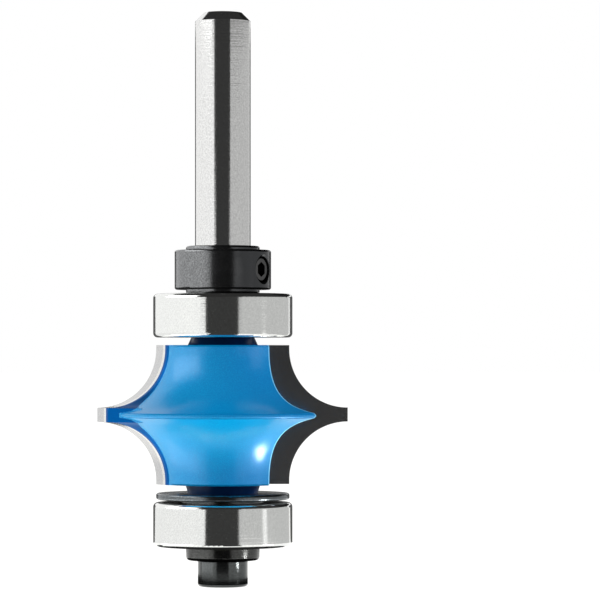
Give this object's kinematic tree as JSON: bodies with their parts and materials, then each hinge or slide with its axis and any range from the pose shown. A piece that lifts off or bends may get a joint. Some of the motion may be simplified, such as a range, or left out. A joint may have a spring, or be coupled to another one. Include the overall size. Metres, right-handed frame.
{
  "type": "router bit",
  "caption": "Router bit with two brazed carbide wings that round both arrises of an edge, guided by a ball bearing above and below the cutter.",
  "frame": {"origin": "centre of the cap screw's end face, the lowest point of the tool as pictured", "axes": "+Z along the tool's axis towards the end of the shank; the right-hand cutting edge lies over +X and its rake face looks towards -Y"},
  "size_m": [0.0286, 0.0248, 0.0654],
  "materials": {
    "painted_steel": "blue metallic enamel on the head, bare ground steel on the shank",
    "carbide": "fine ground",
    "braze": "bright, silver-coloured",
    "bearing_steel": "ground and honed",
    "ball_steel": "polished",
    "cage_brass": "pressed",
    "shield_rubber": "black, moulded over a steel disc",
    "collar_steel": "black oxide, satin",
    "grey_steel": "dark, lightly oiled",
    "black_steel": "black oxide"
  },
  "bodies": {
    "cutter": {"cutter_body": "painted_steel", "carbide_tip_right": "carbide", "carbide_tip_left": "carbide", "braze_seam_right": "braze", "braze_seam_left": "braze", "lock_collar": "collar_steel", "collar_set_screw": "black_steel", "spacer_washer": "grey_steel", "screw_washer": "black_steel", "cap_screw": "black_steel", "upper_inner_ring": "bearing_steel", "lower_inner_ring": "bearing_steel"},
    "upper_rim": {"upper_outer_ring": "bearing_steel", "upper_shield_top": "shield_rubber", "upper_shield_bottom": "shield_rubber"},
    "upper_ball_set": {"upper_balls": "ball_steel", "upper_ball_cage": "cage_brass"},
    "lower_rim": {"lower_outer_ring": "bearing_steel", "lower_shield_top": "shield_rubber", "lower_shield_bottom": "shield_rubber"},
    "lower_ball_set": {"lower_balls": "ball_steel", "lower_ball_cage": "cage_brass"}
  },
  "joints": [
    {"name": "upper_bearing_spin", "type": "hinge", "parent": "cutter", "child": "upper_rim", "pos_m": [0, 0, 0.03086], "axis": [0, 0, 1], "continuous": true},
    {"name": "upper_ball_orbit", "type": "hinge", "parent": "cutter", "child": "upper_ball_set", "pos_m": [0, 0, 0.03086], "axis": [0, 0, 1], "continuous": true},
    {"name": "lower_bearing_spin", "type": "hinge", "parent": "cutter", "child": "lower_rim", "pos_m": [0, 0, 0.00709], "axis": [0, 0, 1], "continuous": true},
    {"name": "lower_ball_orbit", "type": "hinge", "parent": "cutter", "child": "lower_ball_set", "pos_m": [0, 0, 0.00709], "axis": [0, 0, 1], "continuous": true}
  ],
  "couplings": [
    {"joint": "upper_ball_orbit", "follows": "upper_bearing_spin", "ratio": 0.607},
    {"joint": "lower_ball_orbit", "follows": "lower_bearing_spin", "ratio": 0.607}
  ]
}
